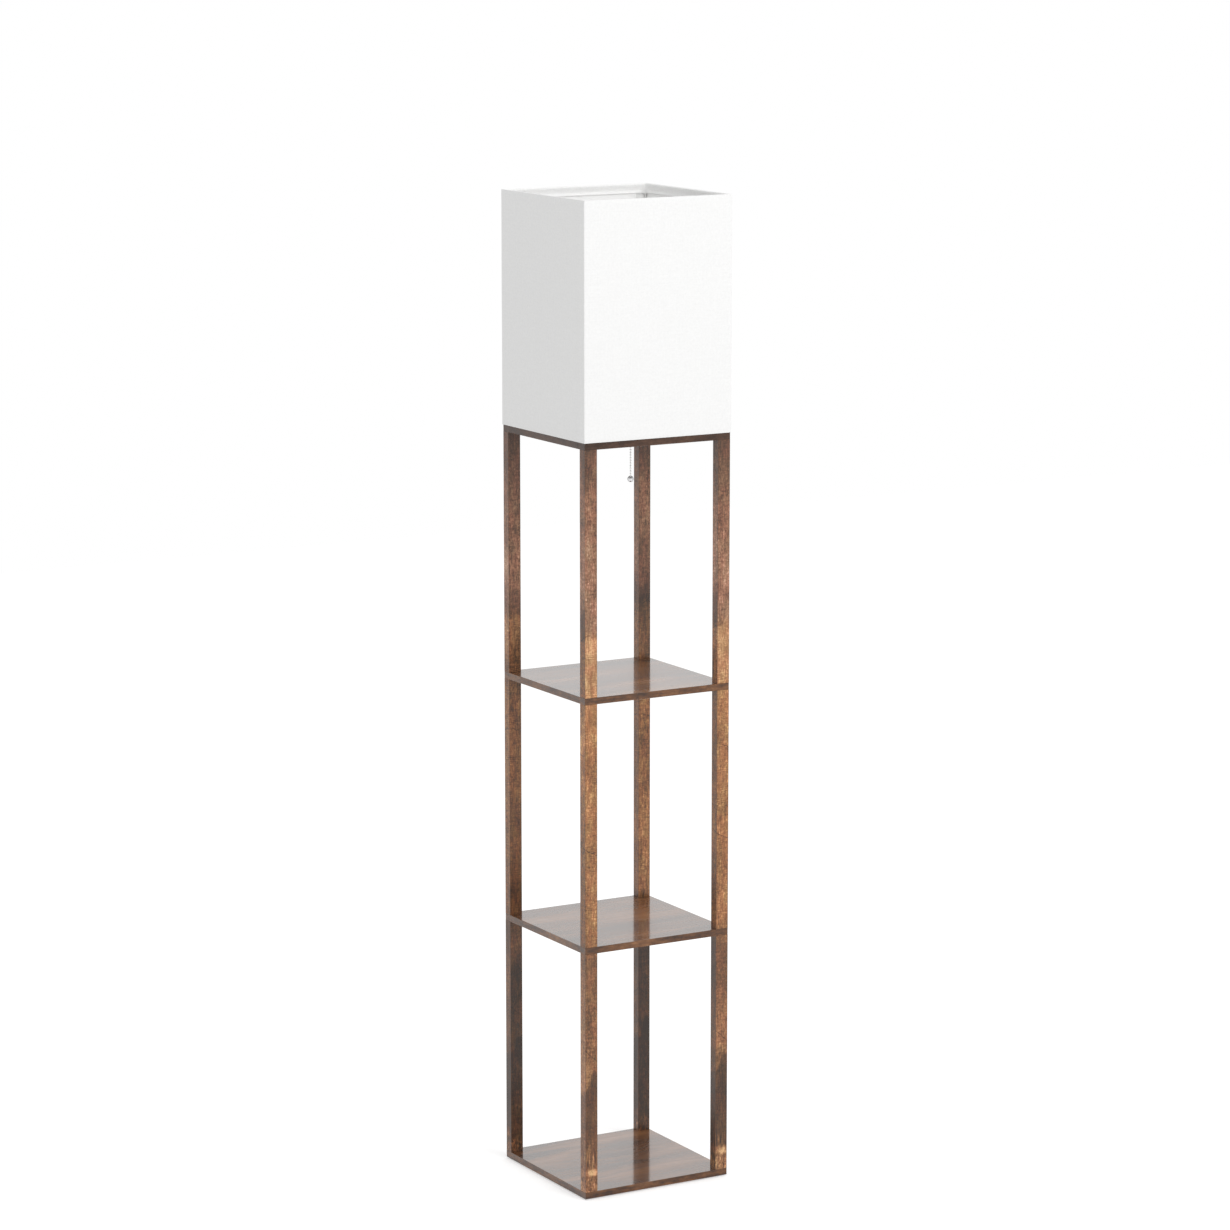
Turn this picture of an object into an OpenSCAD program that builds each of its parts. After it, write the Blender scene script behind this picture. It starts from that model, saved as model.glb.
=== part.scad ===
// Shelf floor lamp: a square fabric shade on a stand of three open tiers, with a pull-chain lampholder.
// The front faces -Y and up is +Z. The origin is on the floor, under the middle of the base board.

/* [Boards] */
// Side of the square base and shelves, and outside width of the whole stand
board_w = 265; // [235:1:320]
// Thickness of the base, the shelves and the top frame
board_t = 11; // [9:0.5:16]

/* [Posts] */
// Width of a post, seen from the front
post_w = 22; // [18:1:30]
// Depth of a post, seen from the side
post_d = 16; // [15:1:24]
// Length of a post, which is the clear height of one tier
post_len = 393; // [300:1:450]

/* [Feet] */
// Diameter of a felt pad
pad_d = 20; // [14:1:30]
// Thickness of a felt pad
pad_t = 2; // [1:0.5:4]
// Distance from the board's edges to a pad's centre
pad_inset = 28; // [26:1:60]

/* [Top frame] */
// Width of the four rails
rail_w = 22; // [20:1:30]
// Width of the bar that carries the lampholder
bar_w = 36; // [30:1:40]
// Diameter of the dowels that join the frame
dowel_d = 6; // [4:0.5:7]
// Spacing of the two dowels in the end of a side rail
rail_dowel_pitch = 12; // [9:0.5:13]
// Spacing of the two dowels in the end of the bar
bar_dowel_pitch = 18; // [12:1:22]

/* [Shade] */
// Height of the shade above the top frame
shade_h = 377; // [250:1:420]
// How far the shade stands out past each side of the stand
shade_overhang = 1.5; // [0.5:0.5:3]
// Thickness of the fabric-covered panel
panel_t = 0.8; // [0.6:0.1:1.2]
// Thickness of the hem strips
hem_t = 0.6; // [0.4:0.1:0.8]
// Height of the hem strips
hem_h = 15; // [10:1:30]
// Diameter of the frame wire
wire_d = 2.5; // [2:0.1:3]
// Bend radius at the corners of the wire rings, to the middle of the wire
wire_bend_r = 4; // [3:0.5:6]

/* [Fasteners] */
// Diameter of the bolts and studs
bolt_d = 6; // [5:0.5:6.5]
// Diameter of the head of a top bolt
cap_head_d = 10; // [9:0.5:10.5]
// Height of the head of a top bolt
cap_head_h = 6; // [4:0.5:8]
// Diameter of the countersunk head of a base bolt
sink_head_d = 12; // [10:0.5:13]
// Width across the flats of the key socket in the bolt heads
key_w = 4; // [3:0.5:5]
// Depth of the key socket in the bolt heads
key_depth = 2.5; // [1.5:0.5:3]
// Length of bolt or stud inside a post
engage_len = 12; // [8:1:13]
// Outside diameter of the threaded inserts
insert_d = 10; // [8.5:0.5:11]
// Length of the threaded inserts
insert_len = 14; // [14:1:20]

/* [Lampholder] */
// Outside diameter of the threaded nipple
nipple_d = 9.8; // [9:0.1:11]
// Bore of the nipple
nipple_bore_d = 7.2; // [6.8:0.1:8]
// Bore of the cord bushing
bushing_bore_d = 6.4; // [5.5:0.1:6.4]
// Outside diameter of the metal shell
shell_d = 33.4; // [32.6:0.1:35]
// Thickness of the metal shell
shell_t = 0.6; // [0.4:0.1:0.8]
// Thickness of the insulating liner
liner_t = 0.5; // [0.3:0.1:0.8]
// Height of the cap under the shell
cap_h = 20; // [17:0.5:21]
// Height of the shell's rim above the top frame
shell_top = 64; // [63:0.5:66]
// Inside diameter of the screw shell
screw_bore_d = 27.2; // [27:0.1:27.6]
// Thickness of the screw shell
screw_t = 0.4; // [0.3:0.1:0.6]
// Height of the screw shell
screw_h = 25; // [20:1:26]

/* [Switch and pull chain] */
// Height of the chain guide's axis above the top frame
guide_h = 27; // [26:0.5:28]
// Distance from the shell's side to the hanging chain
guide_reach = 10.3; // [9.5:0.1:12]
// Outside diameter of the chain guide
guide_d = 8.4; // [8:0.1:9]
// Diameter of a bead
bead_d = 3.2; // [3:0.1:3.4]
// Spacing of the beads
bead_pitch = 4.25; // [4.1:0.05:4.5]
// Diameter of the wire between the beads
link_d = 0.9; // [0.6:0.1:1.2]
// Number of bead spacings from the guide's axis to the ball's middle
chain_count = 26; // [12:1:60]
// Diameter of the pull ball
ball_d = 10; // [8:0.5:14]
// How far the chain is pulled to work the switch
pull_travel = 8; // [6:0.5:8]
// Radius at which the beads lie on the switch drum
drum_r = 7; // [6:0.25:7.5]
// Diameter of the switch shaft
shaft_d = 3; // [2:0.5:3.5]

/* [Bulb] */
// Diameter of the bulb
bulb_d = 60; // [55:1:70]
// Length of the bulb, with its screw cap
bulb_len = 110; // [104:1:125]
// Outside diameter of the screw cap's thread
thread_d = 26.4; // [26:0.1:26.5]
// Spacing of the thread
thread_pitch = 3.63; // [3.4:0.01:3.8]
// Wall of the diffuser and the housing
bulb_wall = 1.2; // [1:0.1:2]

/* [Clearances] */
// Gap around glued, pressed and screwed pieces
fit_gap = 0.05; // [0.02:0.01:0.08]
// Gap around a bolt in a plain hole
hole_gap = 0.25; // [0.1:0.05:0.4]
// Gap between the sheet metal, wire and hem pieces
sheet_gap = 0.1; // [0.05:0.05:0.2]
// Play between the shade's rim and the bolt heads that locate it
locate_gap = 0.4; // [0.3:0.1:0.8]
// Gap around the pieces that move inside the lampholder
move_gap = 0.3; // [0.2:0.05:0.4]

/* [Hidden] */
$fn = 48;
cut = 1;

half = board_w / 2;
tier_pitch = post_len + board_t;
frame_z = pad_t + 3 * tier_pitch;
frame_top = frame_z + board_t;

TIERS = ["lower", "middle", "upper"];
CORNERS = [["front_left", -1, -1], ["front_right", 1, -1], ["back_left", -1, 1], ["back_right", 1, 1]];

// The shade's rim drops round the heads of the four top bolts, so the rim sets where the bolts stand.
shade_half = half + shade_overhang;
shade_top = frame_top + shade_h;
panel_in = shade_half - panel_t;
ring_c = panel_in - sheet_gap - wire_d / 2;
rim_in = panel_in - 2 * sheet_gap - wire_d - hem_t;
ring_offset = hem_t + sheet_gap + wire_d / 2;
roll_h = 2 * hem_t + 2 * sheet_gap + wire_d;
upright_c = ring_c - wire_bend_r * (1 - sqrt(1 / 2));
bolt_c = rim_in - locate_gap - cap_head_d / 2;

hole_d = bolt_d + 2 * hole_gap;
rail_c = half - rail_w / 2;
inner_len = board_w - 2 * rail_w;
dowel_margin = 1;
dowel_len = 2 * (rail_w - (half - bolt_c) - hole_d / 2 - dowel_margin);

// Lampholder levels
washer_t = 1.5;
washer_d = 22;
nut_h = 4;
nut_w = 14;
nipple_out = 2;
nipple_in = 4;
nipple_z = frame_z - washer_t - nut_h - nipple_out;
bushing_len = 8;
bushing_flange_t = 1.5;
bushing_flange_d = 12;
hub_d = 18;
hub_t = 2;
flare_h = 7;
shell_r = shell_d / 2;
shell_in = shell_r - shell_t;
liner_in = shell_in - sheet_gap - liner_t;
body_r = liner_in - 2 * sheet_gap;
cap_in = shell_r + sheet_gap;
shell_lap = 6;
shell_z = frame_top + cap_h - shell_lap;

// Chain and switch places: the inner stretch of chain runs level from the drum's top to the guide.
chain_x = shell_r + guide_reach;
guide_z = frame_top + guide_h;
bead_r = bead_d / 2;
inner_first = 2;
inner_last = 6;
lead_last = 2;
tilt_bead = 3;
hang_first = 4;
drum_x = chain_x - inner_last * bead_pitch;
drum_z = guide_z - drum_r;
pocket_r = drum_r + bead_r + 2 * move_gap;
pocket_floor = 1.8;
body_z = drum_z - pocket_r - pocket_floor;
body_top = guide_z + 9;
mouth_gap = 0.15;
mouth_z = guide_z - tilt_bead * bead_pitch + bead_r + mouth_gap;
mouth_flare_h = 3;
mouth_flare = 1.2;
ball_z = guide_z - chain_count * bead_pitch;
link_gap = 0.2;

// Switch pieces stand side by side along the shaft.
drum_half = bead_r + 1.4;
flange_t = 1;
rotor_w = 3.4;
rotor_y = drum_half + move_gap;
rotor_r = 5.5;
rotor_flat = 8.4;
pocket_y = rotor_y + rotor_w + move_gap;
shaft_seat = 2;
spring_r = 3.2;
spring_w = 3;
spring_y = -drum_half - move_gap - spring_w;
blade_t = 0.4;
blade_x = rotor_r + 0.9;
blade_seat = 1.5;
blade_rise = 3;
terminal_x = -11.5;
terminal_y = 4;
terminal_d = 2.8;
terminal_head_d = 5.2;
terminal_head_h = 1.5;
terminal_len = 5;
rivet_d = 2.4;
rivet_len = 4;

// Bulb levels
contact_rise = 4.1;
contact_t = 0.4;
bulb_z = body_top + contact_rise + move_gap;
bulb_cap_z = bulb_z + 3.2;
bulb_cap_top = bulb_z + 26;
globe_z = bulb_z + bulb_len - bulb_d / 2;
globe_drop = 12;
housing_top = globe_z - globe_drop;
housing_r = sqrt(pow(bulb_d / 2, 2) - pow(globe_drop, 2));
led_board_t = 1.6;
thread_depth = 0.45;
thread_turns = 5;

// Underside of board n, where 0 is the base and 3 the top frame
function board_z(n) = pad_t + n * tier_pitch;
// Lower end of the posts of a tier
function post_z(tier) = board_z(tier) + board_t;
// Height of bead n of the hanging chain
function bead_z(n) = guide_z - n * bead_pitch;
// Half the height of the switch pocket at a distance from the shaft
function pocket_half(x) = sqrt(pocket_r * pocket_r - x * x);

module at_corners(c) {
    for (corner = CORNERS)
        translate([corner[1] * c, corner[2] * c, 0])
            children();
}

// Square ring of sheet or board between two half widths
module square_ring(outer, inner, z, h) {
    difference() {
        translate([-outer, -outer, z]) cube([2 * outer, 2 * outer, h]);
        translate([-inner, -inner, z - cut]) cube([2 * inner, 2 * inner, h + 2 * cut]);
    }
}

// Upright square block with rounded corners
module soft_square(half_w, corner_r, z, h) {
    straight = half_w - corner_r;
    translate([-half_w, -straight, z]) cube([2 * half_w, 2 * straight, h]);
    translate([-straight, -half_w, z]) cube([2 * straight, 2 * half_w, h]);
    at_corners(straight) translate([0, 0, z]) cylinder(r = corner_r, h = h);
}

// Round ring about the lamp's axis
module round_ring(outer_d, inner_d, z, h) {
    difference() {
        translate([0, 0, z]) cylinder(d = outer_d, h = h);
        translate([0, 0, z - cut]) cylinder(d = inner_d, h = h + 2 * cut);
    }
}

// Cylinder along Y, centred on its own middle
module along_y(d, len) {
    rotate([90, 0, 0]) cylinder(d = d, h = len, center = true);
}

// Cylinder along X, from x0 to x1
module along_x(d, x0, x1) {
    translate([x0, 0, 0]) rotate([0, 90, 0]) cylinder(d = d, h = x1 - x0);
}

module foot_pads() {
    color("#3b3735") at_corners(half - pad_inset) cylinder(d = pad_d, h = pad_t);
}

module board(z) {
    difference() {
        translate([-half, -half, z]) cube([board_w, board_w, board_t]);
        at_corners(bolt_c) translate([0, 0, z - cut]) cylinder(d = hole_d, h = board_t + 2 * cut);
    }
}

module base_board() {
    recess_d = sink_head_d + 4 * hole_gap;
    color("#7a5a46") difference() {
        board(board_z(0));
        at_corners(bolt_c) translate([0, 0, board_z(0) - cut])
            cylinder(d1 = recess_d + 2 * cut, d2 = hole_d, h = (recess_d - hole_d) / 2 + cut);
    }
}

module shelf(n) {
    color("#7a5a46") board(board_z(n));
}

// One post, with a blind hole for a threaded insert in each end
module post(tier, corner) {
    x = corner[1] * (half - post_w / 2);
    y = corner[2] * (half - post_d / 2);
    z = post_z(tier);
    insert_hole = insert_len + 2;
    color("#8a6348") difference() {
        translate([x - post_w / 2, y - post_d / 2, z]) cube([post_w, post_d, post_len]);
        for (end_z = [z - cut, z + post_len - insert_hole])
            translate([corner[1] * bolt_c, corner[2] * bolt_c, end_z])
                cylinder(d = insert_d + 2 * fit_gap, h = insert_hole + cut);
    }
}

module post_inserts() {
    color("#c9a45c") for (tier = [0:2], end = [0, post_len - insert_len])
        at_corners(bolt_c) round_ring(insert_d, bolt_d + 2 * fit_gap, post_z(tier) + end, insert_len);
}

module base_bolts() {
    flush = 0.1;
    head_h = (sink_head_d - bolt_d) / 2;
    color("#8f8f92") at_corners(bolt_c) translate([0, 0, board_z(0) + flush]) difference() {
        union() {
            cylinder(d1 = sink_head_d, d2 = bolt_d, h = head_h);
            cylinder(d = bolt_d, h = board_t - flush + engage_len);
        }
        translate([0, 0, -cut]) cylinder(d = key_w / cos(30), h = key_depth + cut, $fn = 6);
    }
}

module shelf_studs() {
    color("#8f8f92") for (n = [1, 2])
        at_corners(bolt_c) translate([0, 0, board_z(n) - engage_len])
            cylinder(d = bolt_d, h = board_t + 2 * engage_len);
}

module top_bolts() {
    color("#8f8f92") at_corners(bolt_c) difference() {
        union() {
            translate([0, 0, frame_top]) cylinder(d = cap_head_d, h = cap_head_h);
            translate([0, 0, frame_z - engage_len]) cylinder(d = bolt_d, h = board_t + engage_len + cut);
        }
        translate([0, 0, frame_top + cap_head_h - key_depth])
            cylinder(d = key_w / cos(30), h = key_depth + cut, $fn = 6);
    }
}

// All dowels of the top frame, or the holes for them with a gap all round
module dowel_set(gap) {
    side = [for (s = [-1, 1], k = [-1, 1]) s * rail_c + k * rail_dowel_pitch / 2];
    middle = [-bar_dowel_pitch / 2, bar_dowel_pitch / 2];
    for (x = concat(side, middle), s = [-1, 1])
        translate([x, s * inner_len / 2, frame_z + board_t / 2]) along_y(dowel_d + 2 * gap, dowel_len + 2 * gap);
}

module frame_dowels() {
    color("#d8b98a") dowel_set(0);
}

module cross_rail(side) {
    color("#5c443b") difference() {
        translate([-half, side * rail_c - rail_w / 2, frame_z]) cube([board_w, rail_w, board_t]);
        at_corners(bolt_c) translate([0, 0, frame_z - cut]) cylinder(d = hole_d, h = board_t + 2 * cut);
        dowel_set(fit_gap);
    }
}

module side_rail(side) {
    color("#5c443b") difference() {
        translate([side * rail_c - rail_w / 2, -inner_len / 2, frame_z]) cube([rail_w, inner_len, board_t]);
        dowel_set(fit_gap);
    }
}

module socket_bar() {
    color("#5c443b") difference() {
        translate([-bar_w / 2, -inner_len / 2, frame_z]) cube([bar_w, inner_len, board_t]);
        translate([0, 0, frame_z - cut]) cylinder(d = nipple_d + 2 * hole_gap, h = board_t + 2 * cut);
        dowel_set(fit_gap);
    }
}

module shade_panel() {
    color("#f4f3f0") square_ring(shade_half, panel_in, frame_top, shade_h);
}

// Hem strip that wraps one wire ring: dir is 1 at the shade's lower edge and -1 at its upper edge
module hem(edge_z, dir) {
    inside_r = wire_bend_r - wire_d / 2 - sheet_gap - hem_t;
    band_h = hem_h - roll_h + hem_t;
    module layer(a, b) {
        z = edge_z + min(dir * a, dir * b);
        translate([-panel_in, -panel_in, z]) cube([2 * panel_in, 2 * panel_in, b - a]);
    }
    function low(a, b) = edge_z + min(dir * a, dir * b);
    color("#eceae6") difference() {
        union() {
            layer(0, hem_t);
            layer(roll_h - hem_t, roll_h);
            soft_square(rim_in + hem_t, inside_r + hem_t, low(0, roll_h), roll_h);
            square_ring(panel_in, panel_in - hem_t, low(roll_h - hem_t, hem_h), band_h);
        }
        soft_square(rim_in, inside_r, low(-cut, roll_h + cut), roll_h + 2 * cut);
        at_corners(upright_c) translate([0, 0, low(roll_h - hem_t - sheet_gap, hem_h)])
            cylinder(d = wire_d + 2 * sheet_gap, h = hem_h - roll_h + hem_t + sheet_gap);
    }
}

module wire_ring(z) {
    straight = 2 * (ring_c - wire_bend_r);
    color("#dcdcdc") translate([0, 0, z]) for (turn = [0:90:270]) rotate([0, 0, turn]) {
        translate([0, -ring_c, 0]) along_x(wire_d, -straight / 2, straight / 2);
        translate([ring_c - wire_bend_r, ring_c - wire_bend_r, 0])
            rotate_extrude(angle = 90) translate([wire_bend_r, 0]) circle(d = wire_d);
    }
}

module shade_uprights() {
    low = frame_top + ring_offset + wire_d / 2 + fit_gap;
    high = shade_top - ring_offset - wire_d / 2 - fit_gap;
    color("#dcdcdc") at_corners(upright_c) translate([0, 0, low]) cylinder(d = wire_d, h = high - low);
}

module socket_nipple() {
    color("#b9b9bc") round_ring(nipple_d, nipple_bore_d, nipple_z, frame_top + nipple_in - nipple_z);
}

module nipple_washer() {
    color("#b9b9bc") round_ring(washer_d, nipple_d + 2 * hole_gap, frame_z - washer_t, washer_t);
}

module nipple_nut() {
    color("#b9b9bc") difference() {
        translate([0, 0, frame_z - washer_t - nut_h]) cylinder(d = nut_w / cos(30), h = nut_h, $fn = 6);
        translate([0, 0, frame_z - washer_t - nut_h - cut]) cylinder(d = nipple_d + 2 * fit_gap, h = nut_h + 2 * cut);
    }
}

module cord_bushing() {
    color("#222222") difference() {
        union() {
            translate([0, 0, nipple_z - bushing_flange_t]) cylinder(d = bushing_flange_d, h = bushing_flange_t);
            translate([0, 0, nipple_z - cut]) cylinder(d = nipple_bore_d - 2 * fit_gap, h = bushing_len + cut);
        }
        translate([0, 0, nipple_z - bushing_flange_t - cut])
            cylinder(d = bushing_bore_d, h = bushing_flange_t + bushing_len + 2 * cut);
    }
}

module socket_cap() {
    hub_r = hub_d / 2;
    cap_r = cap_in + shell_t;
    bore_r = nipple_d / 2 + fit_gap;
    outer = [[bore_r, 0], [hub_r, 0], [cap_r, flare_h], [cap_r, cap_h]];
    inner = [[cap_in, cap_h], [cap_in, flare_h + shell_t / 2], [hub_r, hub_t], [bore_r, hub_t]];
    color("#c4c4c8") translate([0, 0, frame_top]) rotate_extrude() polygon(concat(outer, inner));
}

// Way through the shell and the liner for the chain guide
module guide_hole() {
    translate([0, 0, guide_z]) along_x(guide_d + 2 * sheet_gap, body_r / 2, shell_r + cut);
}

module socket_shell() {
    lip_in = thread_d / 2 + 1.7;
    top = frame_top + shell_top;
    color("#c4c4c8") difference() {
        rotate_extrude() polygon([
            [shell_in, shell_z], [shell_r, shell_z], [shell_r, top],
            [lip_in, top], [lip_in, top - shell_t], [shell_in, top - shell_t]
        ]);
        guide_hole();
    }
}

module socket_liner() {
    liner_top = frame_top + shell_top - shell_t - sheet_gap;
    color("#d9cdb4") difference() {
        round_ring(2 * (liner_in + liner_t), 2 * liner_in, body_z, liner_top - body_z);
        guide_hole();
    }
}

// Insulating body with a pocket for the switch, open at the front and towards the chain guide
module socket_body() {
    slot_h = bead_d + 4 * move_gap;
    color("#2b2725") difference() {
        translate([0, 0, body_z]) cylinder(r = body_r, h = body_top - body_z);
        translate([drum_x, (pocket_y - body_r - cut) / 2, drum_z]) along_y(2 * pocket_r, pocket_y + body_r + cut);
        translate([drum_x, pocket_y + shaft_seat / 2, drum_z]) along_y(shaft_d + 2 * fit_gap, shaft_seat + 2 * fit_gap);
        translate([drum_x, -slot_h / 2, guide_z - slot_h / 2]) cube([body_r, slot_h, slot_h]);
        blade_pair(fit_gap);
        terminal_holes();
        translate([0, 0, body_top - rivet_len - fit_gap]) cylinder(d = rivet_d + 2 * fit_gap, h = rivet_len + cut);
    }
}

module terminal_holes() {
    for (s = [-1, 1])
        translate([terminal_x, s * terminal_y, body_z - cut])
            cylinder(d = terminal_d + 2 * fit_gap, h = terminal_len + fit_gap + cut);
}

module terminal_screws() {
    color("#c9a45c") for (s = [-1, 1]) translate([terminal_x, s * terminal_y, body_z]) {
        translate([0, 0, -terminal_head_h]) cylinder(d = terminal_head_d, h = terminal_head_h);
        cylinder(d = terminal_d, h = terminal_len);
    }
}

// The two contact blades beside the rotor, or their slots in the body with a gap all round
module blade_pair(gap) {
    low = drum_z - pocket_half(blade_x + blade_t) - blade_seat;
    for (s = [-1, 1])
        translate([drum_x + s * blade_x - blade_t / 2 - gap, rotor_y + move_gap - gap, low - gap])
            cube([blade_t + 2 * gap, rotor_w - 2 * move_gap + 2 * gap, drum_z + blade_rise - low + 2 * gap]);
}

module switch_contacts() {
    color("#c9a45c") blade_pair(0);
}

module screw_shell() {
    bore_r = screw_bore_d / 2;
    eye_r = 6;
    color("#c9a45c") translate([0, 0, body_top]) rotate_extrude() polygon([
        [eye_r, 0], [bore_r + screw_t, 0], [bore_r + screw_t, screw_h],
        [bore_r, screw_h], [bore_r, screw_t], [eye_r, screw_t]
    ]);
}

// Bent contact leaf, with a rivet into the body
module centre_contact() {
    foot = 4;
    leaf_w = 4;
    color("#c9a45c") translate([0, 0, body_top]) {
        translate([0, leaf_w / 2, 0]) rotate([90, 0, 0]) linear_extrude(leaf_w) polygon([
            [-foot, 0], [foot, 0], [foot, contact_t], [0, contact_rise - contact_t], [foot / 2, contact_rise - contact_t],
            [foot / 2, contact_rise], [-foot / 2, contact_rise], [foot - 3 * contact_t, contact_t], [-foot, contact_t]
        ]);
        translate([0, 0, -rivet_len]) cylinder(d = rivet_d, h = rivet_len);
    }
}

// Level tube out of the shell, then a short upright tube with a flared mouth
module chain_guide() {
    level_bore = bead_d + 2 * move_gap;
    drop_bore = bead_d + 2 * move_gap + 0.2;
    post_dia = guide_d + 0.8;
    cover = (post_dia - drop_bore) / 2;
    collar_d = 11;
    collar_t = 1.2;
    flare_z = mouth_z + mouth_flare_h;
    color("#c4c4c8") difference() {
        union() {
            translate([0, 0, guide_z]) along_x(guide_d, body_r + sheet_gap, chain_x);
            translate([0, 0, guide_z]) along_x(collar_d, shell_r + sheet_gap, shell_r + sheet_gap + collar_t);
            translate([chain_x, 0, flare_z])
                cylinder(d = post_dia, h = guide_z + drop_bore / 2 + cover - flare_z);
            translate([chain_x, 0, mouth_z])
                cylinder(d1 = post_dia + 2 * mouth_flare, d2 = post_dia, h = mouth_flare_h);
        }
        translate([0, 0, guide_z]) along_x(level_bore, body_r / 2, chain_x);
        translate([chain_x, 0, mouth_z - cut]) cylinder(d = drop_bore, h = guide_z + drop_bore / 2 - mouth_z + cut);
        translate([chain_x, 0, mouth_z - fit_gap])
            cylinder(d1 = drop_bore + 2 * mouth_flare, d2 = drop_bore, h = mouth_flare_h);
    }
}

module switch_shaft() {
    front = spring_y - move_gap;
    back = pocket_y + shaft_seat;
    color("#9a9a9e") translate([drum_x, (front + back) / 2, drum_z]) along_y(shaft_d, back - front);
}

// Coiled return spring round the shaft, with a leg that reaches the pocket's wall
module return_spring() {
    leg_t = 0.8;
    color("#9a9a9e") translate([drum_x, spring_y + spring_w / 2, drum_z]) difference() {
        union() {
            along_y(2 * spring_r, spring_w);
            translate([-pocket_r + move_gap, -spring_w / 2, -leg_t / 2]) cube([pocket_r - spring_r, leg_t, leg_t]);
        }
        along_y(shaft_d + 4 * move_gap, spring_w + 2 * cut);
    }
}

module switch_drum() {
    core_d = 2 * (drum_r - bead_r - sheet_gap);
    rim_d = 2 * (drum_r + bead_r);
    color("#e9e6df") translate([drum_x, 0, drum_z]) difference() {
        union() {
            along_y(core_d, 2 * drum_half);
            for (s = [-1, 1]) translate([0, s * (drum_half - flange_t / 2), 0]) along_y(rim_d, flange_t);
        }
        along_y(shaft_d + 2 * fit_gap, 2 * drum_half + 2 * cut);
    }
}

// The beads wound on the drum: a full pull unwinds them up to the drum's top
module drum_beads() {
    wound = pull_travel / drum_r * 180 / PI;
    color("#d0d0d4") for (part = [0.46, 1])
        translate([drum_x - drum_r * sin(part * wound), 0, drum_z + drum_r * cos(part * wound)]) sphere(d = bead_d);
}

// Contact rotor: a square cam with rounded corners
module switch_rotor() {
    color("#e9e6df") translate([drum_x, rotor_y + rotor_w / 2, drum_z]) difference() {
        intersection() {
            cube([rotor_flat, rotor_w, rotor_flat], center = true);
            along_y(2 * rotor_r, rotor_w + cut);
        }
        along_y(shaft_d + 2 * fit_gap, rotor_w + 2 * cut);
    }
}

module inner_chain() {
    color("#d0d0d4") translate([0, 0, guide_z]) {
        for (n = [inner_first:inner_last]) translate([chain_x - n * bead_pitch, 0, 0]) sphere(d = bead_d);
        along_x(link_d, drum_x, chain_x - inner_first * bead_pitch);
    }
}

// Hanging beads from first to last, with the wire between them and on to the next bead if tail is true
module bead_run(first, last, tail) {
    low = tail ? bead_z(last + 1) + bead_r + link_gap : bead_z(last);
    color("#d0d0d4") translate([chain_x, 0, 0]) {
        for (n = [first:last]) translate([0, 0, bead_z(n)]) sphere(d = bead_d);
        translate([0, 0, low]) cylinder(d = link_d, h = bead_z(first) - low);
    }
}

module pull_ball() {
    bore_d = bead_d + 2 * move_gap;
    color("#d8d8dc") translate([chain_x, 0, ball_z]) difference() {
        sphere(d = ball_d);
        translate([0, 0, -bore_d / 2]) cylinder(d = bore_d, h = ball_d);
    }
}

module bulb_tip() {
    tip_r = 4.8;
    glass_r = 11.5;
    color("#c9a45c") translate([0, 0, bulb_z]) rotate_extrude() polygon([
        [0, 0], [tip_r - 1, 0], [tip_r, 0.8], [glass_r, bulb_cap_z - bulb_z], [glass_r, bulb_cap_z - bulb_z + 1],
        [0, bulb_cap_z - bulb_z + 1]
    ]);
}

// Screw cap: the thread is drawn as rounded rings at the thread's spacing
module bulb_cap() {
    steps = 8;
    mid_r = thread_d / 2 - thread_depth;
    in_r = mid_r - 2 * thread_depth;
    rings = [for (i = [0:steps * thread_turns])
        [mid_r - thread_depth * cos(360 * i / steps), bulb_cap_z + 2 + thread_pitch * i / steps]];
    color("#c9c9cc") rotate_extrude() polygon(concat(
        [[in_r, bulb_cap_z + 1 + fit_gap], [mid_r - thread_depth, bulb_cap_z + 1 + fit_gap]],
        rings,
        [[mid_r - thread_depth, bulb_cap_top], [in_r, bulb_cap_top]]
    ));
}

module bulb_housing() {
    neck_r = 14;
    neck_z = bulb_cap_top + fit_gap;
    waist = 4;
    waist_z = housing_top - 14;
    color("#f2f2f0") rotate_extrude() polygon([
        [neck_r - 3, neck_z], [neck_r, neck_z], [neck_r + 1, neck_z + 8], [housing_r - waist, waist_z],
        [housing_r, housing_top], [housing_r - bulb_wall, housing_top], [housing_r - waist - bulb_wall, waist_z],
        [neck_r + 1 - bulb_wall, neck_z + 9], [neck_r - 3, neck_z + 6]
    ]);
}

module led_board() {
    board_r = housing_r - bulb_wall - 1;
    count = 12;
    led = [3.5, 2.8, 0.8];
    color("#e8e2b8") translate([0, 0, housing_top - led_board_t - 1]) {
        cylinder(r = board_r, h = led_board_t);
        for (i = [0:count - 1]) rotate([0, 0, i * 360 / count])
            translate([board_r * 0.65 - led[0] / 2, -led[1] / 2, led_board_t - fit_gap]) cube(led);
    }
}

// Round part of the diffuser, from the housing's rim over the top
module bulb_diffuser() {
    steps = 20;
    start = -asin((globe_drop - fit_gap) / (bulb_d / 2));
    function arc(r, i) = let (a = start + (90 - start) * i / steps) [r * cos(a), globe_z + r * sin(a)];
    outer = [for (i = [0:steps]) arc(bulb_d / 2, i)];
    inner = [for (i = [steps:-1:0]) arc(bulb_d / 2 - bulb_wall, i)];
    color("#fbfaf5") rotate_extrude() polygon(concat(outer, inner));
}

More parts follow.
